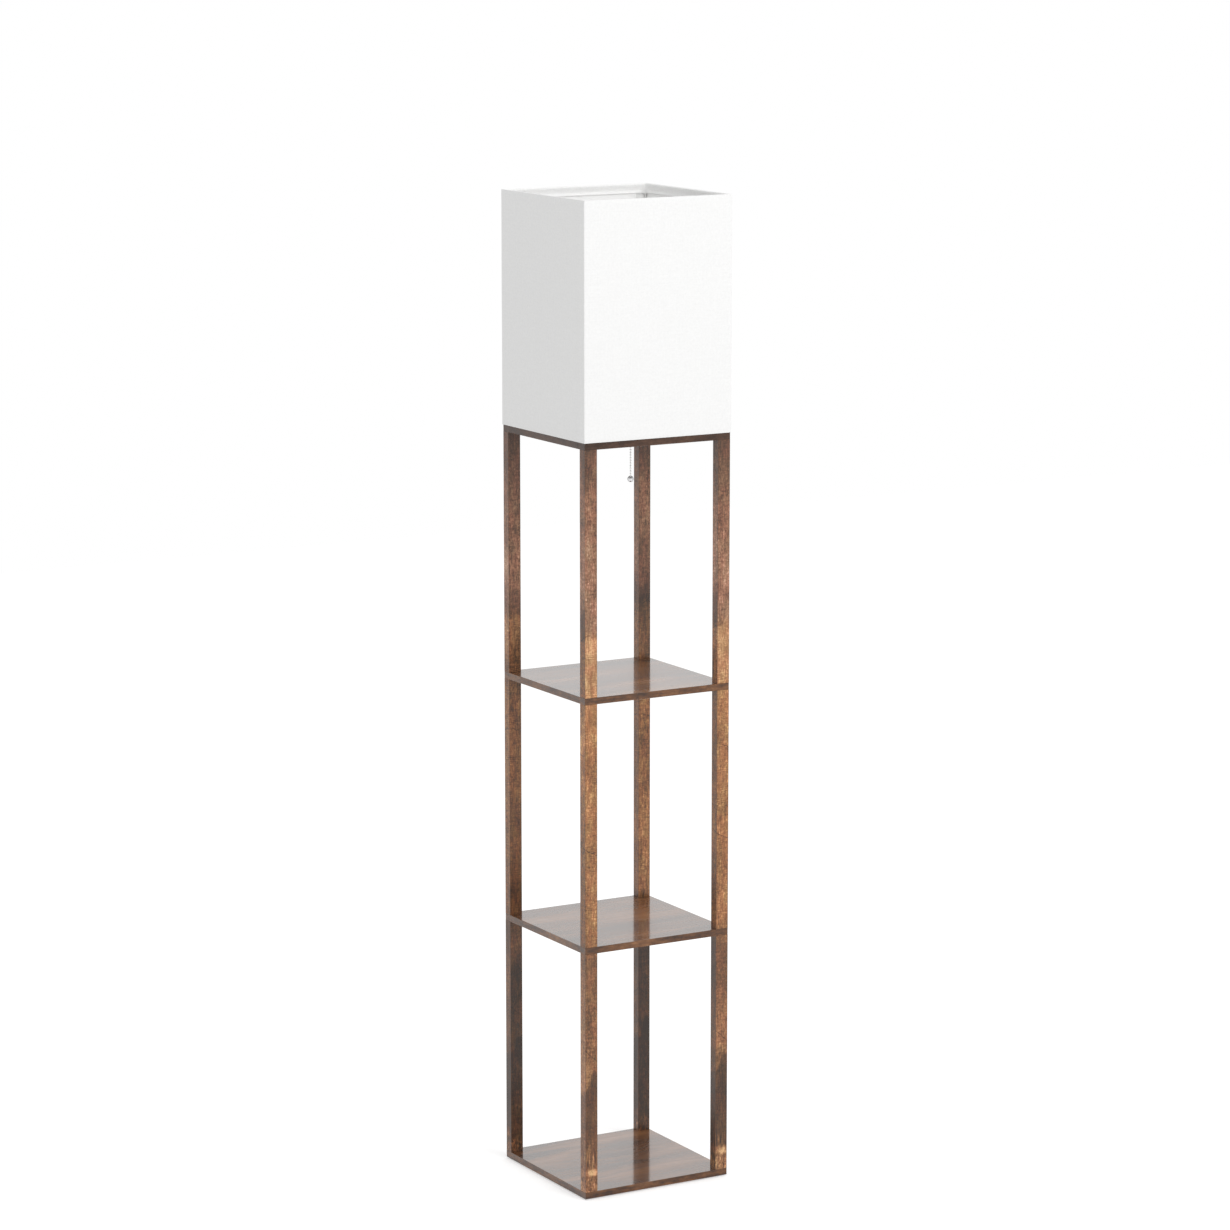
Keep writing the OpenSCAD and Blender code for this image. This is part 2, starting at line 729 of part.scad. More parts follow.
foot_pads();
base_board();
shelf(1);  // lower_shelf
shelf(2);  // upper_shelf
for (tier = [0:2], corner = CORNERS)
    post(tier, corner);
cross_rail(-1);  // front_rail
cross_rail(1);  // back_rail
side_rail(-1);  // left_rail
side_rail(1);  // right_rail
socket_bar();
frame_dowels();
post_inserts();
base_bolts();
shelf_studs();
top_bolts();
shade_panel();
hem(shade_top, -1);  // shade_top_hem
hem(frame_top, 1);  // shade_bottom_hem
wire_ring(shade_top - ring_offset);  // shade_top_ring
wire_ring(frame_top + ring_offset);  // shade_bottom_ring
shade_uprights();
socket_nipple();
nipple_washer();
nipple_nut();
cord_bushing();
socket_cap();
socket_shell();
socket_liner();
socket_body();
terminal_screws();
switch_contacts();
screw_shell();
centre_contact();
chain_guide();
switch_shaft();
return_spring();
switch_drum();
drum_beads();
switch_rotor();
inner_chain();
bead_run(0, lead_last, true);  // chain_lead
bead_run(tilt_bead, tilt_bead, true);  // chain_joint
bead_run(hang_first, chain_count, false);  // pull_chain
pull_ball();
bulb_tip();
bulb_cap();
bulb_housing();
led_board();
bulb_diffuser();
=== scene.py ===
"""Looks of a square shelf floor lamp: rustic brown laminate stand, white linen shade, bead pull chain."""
import math

import bpy
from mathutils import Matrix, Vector


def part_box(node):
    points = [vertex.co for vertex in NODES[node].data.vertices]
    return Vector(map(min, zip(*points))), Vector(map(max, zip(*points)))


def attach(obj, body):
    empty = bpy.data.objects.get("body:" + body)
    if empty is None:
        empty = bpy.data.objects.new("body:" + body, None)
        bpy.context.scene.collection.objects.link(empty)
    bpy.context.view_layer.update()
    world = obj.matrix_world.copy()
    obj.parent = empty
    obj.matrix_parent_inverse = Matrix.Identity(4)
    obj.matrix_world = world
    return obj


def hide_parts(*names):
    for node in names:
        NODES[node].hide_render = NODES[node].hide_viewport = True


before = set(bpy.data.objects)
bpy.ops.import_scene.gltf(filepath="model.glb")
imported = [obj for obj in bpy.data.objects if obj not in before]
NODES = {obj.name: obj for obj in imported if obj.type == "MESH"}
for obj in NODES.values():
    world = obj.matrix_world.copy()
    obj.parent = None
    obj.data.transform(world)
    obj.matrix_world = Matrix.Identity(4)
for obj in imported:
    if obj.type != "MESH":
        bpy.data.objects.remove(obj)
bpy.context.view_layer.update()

MM = 0.001
TIERS = ("lower", "middle", "upper")


# Sizes, all read from the frame
SHADE_LOW, SHADE_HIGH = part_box("shade_panel")
SHADE_HALF = SHADE_HIGH.x
SHADE_BOTTOM, SHADE_TOP = SHADE_LOW.z, SHADE_HIGH.z
BOARD_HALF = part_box("base_board")[1].x
UPPER_SHELF_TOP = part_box("upper_shelf")[1].z
POST_INNER_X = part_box("lower_post_front_right")[0].x
POST_INNER_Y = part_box("lower_post_back_left")[0].y
POST_W = BOARD_HALF - POST_INNER_X
POST_D = BOARD_HALF - POST_INNER_Y


# Node graphs
class Graph:
    """A material and the few calls that its node tree is built with."""

    def __init__(self, name):
        self.material = bpy.data.materials.new(name)
        self.material.use_nodes = True
        self.tree = self.material.node_tree
        self.tree.nodes.clear()
        self.out = self.tree.nodes.new("ShaderNodeOutputMaterial")
        self.object = self.put("ShaderNodeTexCoord", out="Object")

    def put(self, kind, values=None, out=0, **settings):
        """Adds a node. A value that is a socket is linked, any other is set on the node's own socket."""
        node = self.tree.nodes.new(kind)
        for key, value in settings.items():
            setattr(node, key, value)
        for key, value in (values or {}).items():
            if isinstance(value, bpy.types.NodeSocket):
                self.tree.links.new(value, node.inputs[key])
            else:
                node.inputs[key].default_value = value
        return node.outputs[out]

    def math(self, operation, a, b=0.0, c=0.0, clamp=False):
        return self.put("ShaderNodeMath", {0: a, 1: b, 2: c}, operation=operation, use_clamp=clamp)

    def add(self, a, b):
        return self.math("ADD", a, b)

    def mul(self, a, b):
        return self.math("MULTIPLY", a, b)

    def split(self, vector):
        node = self.tree.nodes.new("ShaderNodeSeparateXYZ")
        self.tree.links.new(vector, node.inputs[0])
        return node.outputs

    def join(self, x, y, z):
        return self.put("ShaderNodeCombineXYZ", {0: x, 1: y, 2: z})

    def stretch(self, vector, scale, shift=(0, 0, 0)):
        return self.put("ShaderNodeMapping", {"Vector": vector, "Scale": scale, "Location": shift})

    def noise(self, vector, scale, detail=3.0, rough=0.55, warp=0.0):
        """Noise from 0 to 1 about 0.5, one feature every 1 / scale metres."""
        return self.put("ShaderNodeTexNoise", {"Vector": vector, "Scale": scale, "Detail": detail,
                                               "Roughness": rough, "Distortion": warp}, out="Fac")

    def drawn(self, scale, shift, *noise):
        """Noise in the piece's own space, drawn out along an axis where scale is under 1."""
        return self.noise(self.stretch(self.object, scale, shift), *noise)

    def fit(self, value, low, high, to_low=0.0, to_high=1.0):
        """Smooth step from low to high."""
        return self.put("ShaderNodeMapRange", {"Value": value, "From Min": low, "From Max": high,
                                               "To Min": to_low, "To Max": to_high},
                        interpolation_type="SMOOTHSTEP")

    def sway(self, value, amount):
        """A noise value turned into a sway of plus or minus about that amount round zero."""
        return self.put("ShaderNodeMapRange", {"Value": value, "From Min": 0.25, "From Max": 0.75,
                                               "To Min": -amount, "To Max": amount})

    def zone(self, value, rise, fall):
        """1 between two soft edges, each a pair (from, to), and 0 outside them."""
        return self.mul(self.fit(value, *rise), self.fit(value, *fall, 1, 0))

    def blend(self, share, a, b):
        """Mixes two numbers."""
        return self.put("ShaderNodeMix", {0: share, 2: a, 3: b}, data_type="FLOAT")

    def ramp(self, value, stops):
        """A colour, or a grey where a stop is one number, for each value from 0 to 1."""
        node = self.tree.nodes.new("ShaderNodeValToRGB")
        elements = node.color_ramp.elements
        while len(elements) < len(stops):
            elements.new(0.5)
        for element, (place, colour) in zip(elements, stops):
            element.position = place
            element.color = (*colour, 1) if hasattr(colour, "__len__") else (colour, colour, colour, 1)
        self.tree.links.new(value, node.inputs[0])
        return node.outputs[0]

    def mix(self, share, a, b, blend="MIX"):
        """Mixes two colours."""
        node = self.tree.nodes.new("ShaderNodeMix")
        node.data_type, node.blend_type = "RGBA", blend
        for index, value in ((0, share), (6, a), (7, b)):
            if isinstance(value, bpy.types.NodeSocket):
                self.tree.links.new(value, node.inputs[index])
            else:
                node.inputs[index].default_value = (*value, 1) if hasattr(value, "__len__") else value
        return node.outputs[2]

    def bump(self, height, distance, strength):
        return self.put("ShaderNodeBump", {"Height": height, "Distance": distance, "Strength": strength})

    def finish(self, values):
        """Closes the graph with a Principled shader that takes these values."""
        shader = self.put("ShaderNodeBsdfPrincipled", values)
        self.tree.links.new(shader, self.out.inputs[0])
        return self.material


# Wood laminates
WOOD = [(0.00, (0.026, 0.011, 0.005)), (0.20, (0.070, 0.029, 0.011)), (0.42, (0.160, 0.066, 0.025)),
        (0.62, (0.290, 0.130, 0.052)), (0.82, (0.420, 0.200, 0.088)), (1.00, (0.740, 0.430, 0.215))]

# How light a post is at each height above the floor in metres, from dark walnut 0 to tan 1
POST_TONES = [(0.000, 0.66), (0.034, 0.64), (0.046, 0.42), (0.110, 0.32), (0.212, 0.29), (0.220, 0.59),
              (0.290, 0.54), (0.330, 0.46), (0.400, 0.42), (0.440, 0.61), (0.600, 0.68), (0.720, 0.70),
              (0.800, 0.77), (0.917, 0.85), (0.926, 0.65), (1.000, 0.64), (1.060, 0.59), (1.130, 0.51),
              (1.180, 0.35), (1.214, 0.33)]
# The height at which the ramp of tones ends, a little above the posts
TONES_END = 1.25
# Short cracks across the posts: height, slope, and how often the line breaks off
CRACKS = ((0.7207, 0.35, 60), (0.9250, -0.6, 45), (0.571, 0.5, 50), (0.238, 0.9, 40))
# The distance between two saw marks
SAW_PITCH = 2.9 * MM
# How wide the rubbed wood along an arris is
RUBBED_W = 1.2 * MM
# How far a darker or lighter stretch fades to each side of its ends
FADE = 30 * MM
# A face is turned to an axis where its normal leans at least this far along it
FACING = 0.7


def crack(g, x, z, at, slope, reach, seed):
    """A short slanted dark line across a post, 1 inside it and 0 away from it. x is measured from the
    post's axis."""
    wobble = g.sway(g.noise(g.join(x, seed, z), 160, 2), 1.6 * MM)
    off = g.add(g.add(z, g.mul(x, slope)), g.add(wobble, -at))
    line = g.fit(g.math("ABSOLUTE", off), 0.4 * MM, 1.4 * MM, 1, 0)
    return g.mul(line, g.fit(g.noise(g.join(x, at, seed), reach, 1), 0.40, 0.55))


def height_tone(g, side, off_x, z, ragged):
    """How light a post is at its heights, with ragged ends and a slanted one in the lower tier."""
    vee = g.mul(g.math("ABSOLUTE", off_x), 0.9)
    slant_low = g.mul(g.zone(z, (0.10, 0.15), (0.24, 0.28)),
                      g.fit(g.add(side, g.mul(ragged, 30)), 0.15, 0.75, 28 * MM, 0))
    height = g.math("DIVIDE", g.add(g.add(z, slant_low), g.add(ragged, vee)), TONES_END)
    return g.ramp(height, [(h / TONES_END, t) for h, t in POST_TONES])


def saw_marks(g, across, z, seed):
    """Slanted marks of a saw across a post, about -1 to 1, strongest on the middle posts."""
    uneven = g.sway(g.noise(g.stretch(g.object, (0.4, 0.4, 1)), 70, 1), 1.6 * MM)
    slant = g.add(z, g.add(g.mul(across, 0.22), uneven))
    wave = g.math("SINE", g.mul(slant, 2 * math.pi / SAW_PITCH))
    here = g.mul(g.fit(g.drawn((1, 1, 1), (9, seed, 0), 55, 2), 0.44, 0.62),
                 g.add(0.35, g.zone(z, (0.40, 0.46), (0.86, 0.98))))
    return g.mul(wave, here)


def worn_patch(g, side, z, mottle, seed):
    """A worn patch low on a post, 1 inside it and 0 away from it, weaker towards the post's sides."""
    ragged = g.sway(g.drawn((1, 1, 0.05), (seed, 0, 0), 420, 2), 6 * MM)
    patch = g.mul(g.fit(g.add(z, g.mul(ragged, 0.25)), 0.0360, 0.0425),
                  g.fit(g.add(z, g.mul(ragged, 0.5)), 0.0440, 0.0560, 1, 0))
    worn = g.add(side, g.sway(mottle, 0.3))
    patch = g.mul(patch, g.fit(worn, -0.05, 0.60, 0.30, 1.0))
    return g.mul(patch, g.fit(worn, 0.72, 1.10, 1.0, 0.55))


def rubbed_arris(g, off_x, off_y, streak):
    """How rubbed a post is along its arrises, 0 away from them."""
    edge_x = g.fit(g.math("ABSOLUTE", off_x), 0.5 * POST_W - RUBBED_W, 0.5 * POST_W)
    edge_y = g.fit(g.math("ABSOLUTE", off_y), 0.5 * POST_D - RUBBED_W, 0.5 * POST_D)
    return g.mul(g.mul(edge_x, edge_y), g.fit(streak, 0.35, 0.65, 0.35, 0.8))


def post_wood(name, seed, shift, lows=(), patch_on_y=1.0, sides=()):
    """Printed rustic grain that runs up a post, with painted sheen on its sides. lows are stretches (from, to,
    amount) where its front and back faces are darker, on the back posts partly as painted shade; sides are
    stretches where its left and right faces are painted lighter, a painted sheen of the light that grazes them;
    and patch_on_y is how much of the worn patch the front and back faces show."""
    g = Graph(name)
    normal_y = g.split(g.put("ShaderNodeNewGeometry", out="Normal"))[1]
    faces_y = g.math("GREATER_THAN", g.math("ABSOLUTE", normal_y), FACING)
    x, y, z = g.split(g.object)
    # from the post's axis, and from 0 at its left side to 1 at its right side
    off_x = g.math("SUBTRACT", g.math("ABSOLUTE", x), POST_INNER_X + 0.5 * POST_W)
    off_y = g.math("SUBTRACT", g.math("ABSOLUTE", y), POST_INNER_Y + 0.5 * POST_D)
    side = g.math("DIVIDE", g.math("WRAP", g.add(x, BOARD_HALF), BOARD_HALF + POST_INNER_X, 0.0), POST_W)
    across = g.add(g.mul(g.add(side, -0.5), POST_W), g.add(off_y, -0.5 * POST_D))
    ragged = g.sway(g.drawn((1, 1, 0.25), (seed, 0, 0), 260, 3, 0.6), 7 * MM)
    tone = g.add(height_tone(g, side, off_x, z, ragged), shift)
    # the side faces are lighter at the top and stay dark where the front goes tan
    faces_x = g.math("SUBTRACT", 1.0, faces_y)
    tan_zone = g.zone(z, (0.78, 0.84), (0.925, 0.990))
    tone = g.add(tone, g.mul(faces_x, g.add(g.mul(tan_zone, -0.24), g.fit(z, 0.95, 1.00, -0.16, 0.03))))
    # lows darken the front and back faces, on the back posts partly as painted shade; sides paint the left and
    # right faces lighter as painted sheen
    for stretches, faces, sign in ((lows, faces_y, -1), (sides, faces_x, 1)):
        for start, end, amount in stretches:
            here = g.zone(z, (start - FADE, start + FADE), (end - FADE, end + FADE))
            tone = g.add(tone, g.mul(g.mul(here, faces), sign * amount))
    streak = g.drawn((1, 1, 0.09), (seed, seed, 0), 400, 4, 0.62, 0.3)
    fibre = g.drawn((1, 1, 0.03), (0, seed, seed), 1500, 2, 0.6)
    cloud = g.drawn((1, 1, 0.5), (seed, 2, 5), 38, 4, 0.6, 0.4)
    mottle = g.drawn((1, 1, 0.40), (4, seed, 1), 240, 3, 0.60)
    speck = g.drawn((1, 1, 0.50), (seed, 6, 2), 520, 2, 0.5)
    bands = g.drawn((0.3, 0.3, 1), (5, seed, 8), 300, 2, 0.6)
    grain = g.add(g.sway(streak, 0.21), g.sway(fibre, 0.12))
    grain = g.add(grain, g.add(g.sway(mottle, 0.14), g.sway(speck, 0.20)))
    grain = g.add(grain, g.sway(bands, 0.15))
    depth = g.mul(g.fit(tone, 0.25, 0.60, 0.55, 1.0), g.fit(tone, 0.68, 0.84, 1.0, 0.55))
    tone = g.add(g.add(tone, g.sway(cloud, 0.18)), g.mul(grain, depth))
    saw = saw_marks(g, across, z, seed)
    tone = g.add(tone, g.mul(saw, 0.07))
    # small dark flecks, pale chips and cracks
    flecks = g.drawn((1, 1, 0.22), (seed, 7, 3), 520, 2, 0.5)
    tone = g.add(tone, g.fit(flecks, 0.64, 0.76, 0, -0.28))
    chips = g.drawn((1, 1, 0.6), (3, 8, seed), 560, 2, 0.5)
    chip_here = g.fit(g.drawn((1, 1, 1), (0, 5, seed), 14, 1), 0.42, 0.60)
    chip_here = g.math("ADD", chip_here, g.fit(z, 0.93, 1.0, 0, 0.5), clamp=True)
    tone = g.add(tone, g.mul(g.fit(chips, 0.62, 0.72), g.mul(chip_here, 0.24)))
    for at, slope, reach in CRACKS:
        tone = g.add(tone, g.mul(crack(g, across, z, at, slope, reach, seed), -0.30))
    # a worn pale patch, with short upright scratches over it and scuffs under it
    patch = g.mul(worn_patch(g, side, z, mottle, seed), g.fit(faces_y, 0, 1, 0.8, patch_on_y))
    scratched = g.zone(z, (0.050, 0.054), (0.066, 0.086))
    scratches = g.drawn((1, 1, 0.06), (seed, 1, 1), 640, 2, 0.5)
    tone = g.add(tone, g.mul(g.mul(scratched, patch_on_y), g.sway(scratches, 0.55)))
    scuffs = g.drawn((1, 1, 0.5), (2, seed, 1), 330, 2)
    tone = g.add(tone, g.mul(g.fit(z, 0.034, 0.038, 1, 0), g.sway(scuffs, 0.35)))
    tone = g.math("ADD", tone, g.mul(patch, 0.66), clamp=True)
    colour = g.ramp(tone, WOOD)
    hue = g.drawn((1, 1, 0.45), (7, seed, 4), 75, 3, 0.6)
    hue_tint = g.mix(g.fit(hue, 0.36, 0.64), (1.06, 0.96, 0.97), (0.95, 1.02, 0.99))
    colour = g.mix(1.0, colour, hue_tint, "MULTIPLY")
    # the middle posts are a little yellower
    warm = g.zone(z, (0.39, 0.43), (0.78, 0.86))
    colour = g.mix(warm, colour, g.mix(1.0, colour, (0.955, 0.915, 0.78), "MULTIPLY"))
    # the upper posts are a little greyer and pinker
    cool = g.fit(g.add(z, ragged), UPPER_SHELF_TOP + 0.090, UPPER_SHELF_TOP + 0.115)
    colour = g.mix(cool, colour, g.mix(1.0, colour, (0.97, 1.05, 1.45), "MULTIPLY"))
    # the arrises are a little darker
    colour = g.mix(rubbed_arris(g, off_x, off_y, streak), colour, (0.11, 0.052, 0.026))
    relief = g.add(g.mul(streak, 0.6), g.add(g.mul(fibre, 0.3), g.mul(saw, 0.12)))
    return g.finish({"Base Color": colour, "Roughness": g.fit(streak, 0.3, 0.7, 0.27, 0.38),
                     "Normal": g.bump(relief, 0.25 * MM, 0.35), "IOR": 1.5})


def board_wood(name, stops, coat, seed):
    """Printed grain that runs along the edges of a board and from left to right on its face, under a smooth
    clear coat. coat is how much coat the face has, and the edges have less."""
    g = Graph(name)
    normal = g.split(g.put("ShaderNodeNewGeometry", out="Normal"))
    is_edge = g.math("LESS_THAN", g.math("ABSOLUTE", normal[2]), 0.5)
    x, y, z = g.split(g.object)
    turned = g.math("GREATER_THAN", g.math("ABSOLUTE", normal[0]), FACING)
    along = g.blend(turned, x, y)
    beside = g.blend(turned, y, x)
    lie = g.join(along, beside, z)
    drift = g.sway(g.noise(g.stretch(lie, (0.5, 1, 1), (seed, 0, 0)), 9, 2), 10 * MM)
    lie = g.join(along, g.add(beside, drift), z)
    streak = g.noise(g.stretch(lie, (0.05, 1, 1), (seed, seed, 0)), 210, 4, 0.62, 0.25)
    fibre = g.noise(g.stretch(lie, (0.03, 1, 1), (0, seed, 2)), 1300, 2, 0.6)
    band = g.noise(g.stretch(lie, (0.12, 1, 1), (seed, 5, 0)), 46, 3, 0.6, 0.4)
    mottle = g.noise(g.stretch(lie, (0.4, 1, 1), (3, seed, 7)), 180, 3, 0.65)
    cross = g.noise(g.stretch(lie, (1, 0.15, 1), (8, 1, seed)), 140, 2, 0.6)
    broad = g.noise(g.stretch(lie, (0.20, 1, 1), (seed, 9, 3)), 22, 1, 0.5, 0.3)
    # how far each pattern sways the tone, and its share on the face and on the edges
    tone = 0.5
    patterns = ((streak, 0.12, 0.5, 1), (fibre, 0.05, 0.5, 1), (band, 0.34, 0.45, 1), (broad, 0.34, 1, 0),
                (mottle, 0.08, 1, 3), (cross, 0.05, 0.4, 1))
    for pattern, sway, on_face, on_edge in patterns:
        tone = g.add(tone, g.mul(g.sway(pattern, sway), g.fit(is_edge, 0, 1, on_face, on_edge)))
    tone = g.add(tone, g.mul(is_edge, 0.02))
    knots = g.noise(g.stretch(lie, (0.35, 1, 1), (seed, 4, 4)), 300, 2, 0.5)
    tone = g.math("ADD", tone, g.fit(knots, 0.68, 0.78, 0, -0.10), clamp=True)
    colour = g.ramp(tone, stops)
    colour = g.mix(is_edge, colour, g.mix(1.0, colour, (0.98, 1.00, 1.00), "MULTIPLY"))
    relief = g.add(g.mul(streak, 0.6), g.mul(fibre, 0.4))
    edge_coat = g.fit(turned, 0, 1, 0.20 * coat, 0.42 * coat)
    coat_here = g.blend(is_edge, coat, edge_coat)
    return g.finish({"Base Color": colour, "Roughness": g.fit(streak, 0.3, 0.7, 0.40, 0.50),
                     "Normal": g.bump(relief, 0.12 * MM, 0.05), "Coat Weight": coat_here,
                     "Coat Roughness": 0.09, "Coat IOR": 2.2, "IOR": 1.5, "Specular IOR Level": 0.2})


BOARD = [(0.00, (0.016, 0.005, 0.002)), (0.30, (0.055, 0.019, 0.005)), (0.50, (0.112, 0.040, 0.010)),
         (0.70, (0.185, 0.073, 0.022)), (1.00, (0.290, 0.130, 0.048))]
DARK_BOARD = [(0.00, (0.015, 0.007, 0.003)), (0.40, (0.048, 0.022, 0.012)), (0.70, (0.085, 0.040, 0.023)),
              (1.00, (0.150, 0.078, 0.046))]
BEECH = [(0.0, (0.42, 0.27, 0.15)), (0.5, (0.55, 0.38, 0.22)), (1.0, (0.66, 0.49, 0.31))]


# Cloth
# The linen of the wall turns into its backing between these two depths below the outer face
LINING_FROM, LINING_TO = 0.45 * MM, 0.60 * MM


def linen(name, colour, thread, lining=None):
    """Plain linen weave: upright warp and level weft of uneven threads, with a few slubs. thread is the
    distance between two threads, and lining is the colour of the backing on the inner side of the wall."""
    g = Graph(name)
    x, y, z = g.split(g.object)
    round_it = g.add(x, y)
    warp_at = g.add(round_it, g.sway(g.noise(g.join(round_it, 0, g.mul(z, 0.3)), 60, 2), 0.2 * MM))
    weft_at = g.add(z, g.sway(g.noise(g.join(g.mul(round_it, 0.3), 1, z), 60, 2), 0.2 * MM))
    turn = 2 * math.pi / thread
    warp = g.math("SINE", g.mul(warp_at, turn))
    weft = g.math("SINE", g.mul(weft_at, turn))
    weave = g.mul(g.add(g.math("ABSOLUTE", warp), g.math("ABSOLUTE", weft)), 0.5)
    checker = g.mul(g.math("SINE", g.mul(warp_at, 0.5 * turn)), g.math("SINE", g.mul(weft_at, 0.5 * turn)))
    thick_warp = g.noise(g.join(round_it, 3, g.mul(z, 0.02)), 1100, 2, 0.6)
    thick_weft = g.noise(g.join(g.mul(round_it, 0.02), 5, z), 1100, 2, 0.6)
    slubs = g.math("MAXIMUM", g.fit(g.noise(g.join(g.mul(round_it, 0.06), 2, z), 520, 2), 0.66, 0.78),
                   g.fit(g.noise(g.join(round_it, 6, g.mul(z, 0.06)), 520, 2), 0.68, 0.80))
    mottle = g.noise(g.object, 260, 3, 0.6)
    shade = g.add(g.sway(thick_warp, 0.25), g.sway(thick_weft, 0.25))
    shade = g.add(shade, g.add(g.sway(mottle, 0.42), g.mul(weave, 0.25)))
    shade = g.math("ADD", shade, 0.40, clamp=True)
    dark = tuple(0.94 * c for c in colour)
    light = tuple(min(1.0, 1.012 * c) for c in colour)
    tinted = g.mix(shade, dark, light)
    tinted = g.mix(g.mul(slubs, 0.5), tinted, tuple(0.97 * c for c in colour))
    relief = g.add(g.mul(weave, 0.5), g.add(g.mul(checker, 0.25), g.mul(g.add(thick_warp, thick_weft), 0.25)))
    relief = g.add(relief, g.mul(slubs, 0.5))
    if lining:
        reach = g.math("MAXIMUM", g.math("ABSOLUTE", x), g.math("ABSOLUTE", y))
        tinted = g.mix(g.fit(reach, SHADE_HALF - LINING_TO, SHADE_HALF - LINING_FROM, 1, 0), tinted, lining)
    return g.finish({"Base Color": tinted, "Roughness": g.fit(weave, 0, 1, 0.92, 0.80),
                     "Specular IOR Level": 0.25, "Normal": g.bump(relief, 0.12 * MM, 0.5),
                     "Sheen Weight": 0.10, "Sheen Roughness": 0.5})


def felt(name, colour):
    """Felt: short tangled tufts with a soft fluff over them."""
    g = Graph(name)
    tuft = g.noise(g.object, 900, 4, 0.7, 1.5)
    fluff = g.noise(g.object, 160, 3, 0.6)
    tint = g.mix(g.math("ADD", g.sway(tuft, 0.35), g.add(0.5, g.sway(fluff, 0.2)), clamp=True),
                 tuple(0.55 * c for c in colour), tuple(1.5 * c for c in colour))
    return g.finish({"Base Color": tint, "Roughness": 0.95, "Normal": g.bump(tuft, 0.4 * MM, 0.7),
                     "Sheen Weight": 0.3, "Sheen Roughness": 0.6})


# Metals and plastics
def metal(name, colour, rough, lines=(1, 1, 1), wear=0.25, scale=900, spots=0.0, edge=1.0):
    """Metal with fine drawn or turned lines, a soft uneven polish and, with spots, small dull marks. edge is
    how light its reflections are where it turns away."""
    g = Graph(name)
    drawn = g.noise(g.stretch(g.object, lines), scale, 3, 0.6)
    cloud = g.noise(g.object, 120, 3, 0.6)
    marks = g.noise(g.object, 420, 2, 0.5)
    tone = g.math("ADD", 0.5, g.add(g.sway(drawn, wear), g.sway(cloud, wear)), clamp=True)
    tint = g.mix(tone, tuple(0.82 * c for c in colour), tuple(min(1.0, 1.08 * c) for c in colour))
    if spots:
        tint = g.mix(g.mul(g.fit(marks, 0.64, 0.74), spots), tint, tuple(0.45 * c for c in colour))
    polish = g.add(rough, g.add(g.sway(drawn, 0.25 * rough), g.sway(cloud, 0.25 * rough)))
    return g.finish({"Base Color": tint, "Metallic": 1.0, "Roughness": polish,
                     "Specular Tint": (edge, edge, edge, 1), "Normal": g.bump(drawn, 0.04 * MM, 0.25)})


def moulded(name, colour, rough, grain=700, coat=0.0, depth=0.06 * MM, light=1.08, glow=0.0):
    """Moulded plastic, resin or card: fine surface grain, faint flow marks and uneven gloss. light is how much
    its palest spots are lighter than its colour, and glow is how much light passes through it."""
    g = Graph(name)
    pits = g.noise(g.object, grain, 3, 0.6)
    flow = g.noise(g.stretch(g.object, (1, 1, 0.3)), 70, 3, 0.6, 0.6)
    tone = g.math("ADD", 0.5, g.add(g.sway(pits, 0.25), g.sway(flow, 0.35)), clamp=True)
    tint = g.mix(tone, tuple(0.90 * c for c in colour), tuple(min(1.0, light * c) for c in colour))
    values = {"Base Color": tint, "Roughness": g.add(rough, g.sway(pits, 0.12 * rough)),
              "Normal": g.bump(pits, depth, 0.4), "Coat Weight": coat, "Coat Roughness": 0.12}
    if glow:
        values["Subsurface Weight"] = glow
        values["Subsurface Radius"] = (0.004, 0.004, 0.003)
        values["Subsurface Scale"] = 1.0
    return g.finish(values)


# Which material each node wears
# Stretches of a post are (from, to, amount), heights in metres
POSTS = {
    "front_left": post_wood("post_wood_front_left", 0.00, 0.00,
                            sides=[(0.00, 0.40, 0.28), (0.68, 0.80, 0.17)]),
    "front_right": post_wood("post_wood_front_right", 3.10, -0.02,
                             lows=[(0.05, 0.20, 0.11), (0.66, 0.80, 0.03)],
                             sides=[(0.84, 0.93, 0.20), (0.66, 0.79, -0.12), (1.04, 1.20, 0.04)]),
    # The back posts are darker all over and in their lows: partly the print's own tone, partly painted shade of
    # the back row
    "back_left": post_wood("post_wood_back_left", 6.40, -0.09, patch_on_y=0.0,
                           lows=[(-0.05, 0.03, 0.20), (0.00, 0.34, 0.15), (0.19, 0.34, 0.16),
                                 (0.42, 0.625, 0.20), (0.625, 0.80, 0.10), (0.80, 0.96, 0.28)],
                           sides=[(0.84, 1.02, 0.31), (0.42, 0.80, 0.12), (0.26, 0.40, 0.14)]),
    "back_right": post_wood("post_wood_back_right", 9.70, -0.07, patch_on_y=0.0,
                            lows=[(-0.05, 0.03, 0.34), (0.00, 0.40, 0.22), (0.19, 0.34, 0.12),
                                  (0.60, 0.80, 0.12), (0.78, 0.93, 0.36), (0.88, 1.03, 0.20)],
                            sides=[(0.83, 0.98, 0.16), (0.44, 0.60, 0.05)]),
}
board_grain = board_wood("board_wood", BOARD, coat=1.0, seed=1.3)
dark_grain = board_wood("frame_wood", DARK_BOARD, coat=0.6, seed=4.7)
beech = board_wood("dowel_beech", BEECH, coat=0.0, seed=2.2)
felt_grey = felt("pad_felt", (0.030, 0.028, 0.026))
zinc = metal("bright_zinc", (0.60, 0.60, 0.61), 0.32, lines=(1, 1, 4), wear=0.35, scale=700, spots=0.5)
wire_white = moulded("wire_white_enamel", (0.90, 0.90, 0.89), 0.30, grain=500, coat=0.3)
nickel = metal("nickel_shell", (0.66, 0.63, 0.58), 0.24, lines=(1, 1, 14), wear=0.30, scale=600, spots=0.3)
chain_metal = metal("chain_nickel", (0.90, 0.90, 0.89), 0.34, wear=0.20, scale=1500, spots=0.15)
chrome = metal("ball_chrome", (0.74, 0.74, 0.75), 0.07, wear=0.12, scale=1200, spots=0.15, edge=0.1)
brass = metal("contact_brass", (0.74, 0.52, 0.22), 0.28, lines=(1, 1, 5), wear=0.30, scale=900, spots=0.4)
